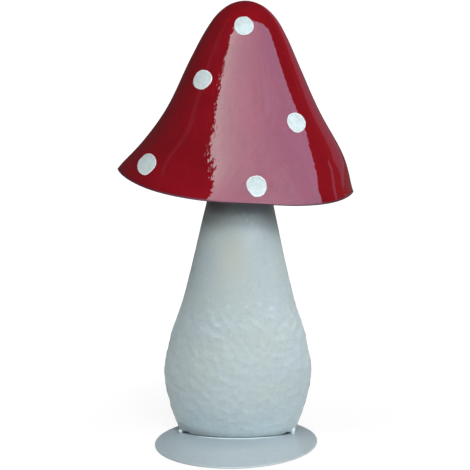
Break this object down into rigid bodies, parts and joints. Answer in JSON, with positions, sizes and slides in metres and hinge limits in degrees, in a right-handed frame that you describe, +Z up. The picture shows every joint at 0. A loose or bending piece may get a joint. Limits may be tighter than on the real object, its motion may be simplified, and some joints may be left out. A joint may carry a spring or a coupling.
{
  "type": "fly agaric figurine",
  "caption": "Free-standing sheet-metal fly agaric in half relief: pressed red cap with white dots, pale pressed stem, round base plate.",
  "frame": {"origin": "centre of the round base plate's underside", "axes": "+Z up, +X to the right seen from the show side, +Y towards the open back; the show side faces -Y"},
  "size_m": [0.1588, 0.11, 0.3008],
  "materials": {
    "red_enamel": "high gloss red enamel over pressed sheet steel",
    "pale_enamel": "satin grey-white enamel over hammered sheet steel",
    "dot_white": "brushed-on white enamel dabs"
  },
  "bodies": {
    "root": {"base_plate": "pale_enamel", "stem_shell": "pale_enamel", "cap_shell": "red_enamel", "cap_strap": "red_enamel", "foot_weld_left": "pale_enamel", "foot_weld_right": "pale_enamel", "stem_weld_left": "pale_enamel", "stem_weld_right": "pale_enamel", "strap_weld_left": "red_enamel", "strap_weld_right": "red_enamel"}
  },
  "joints": []
}
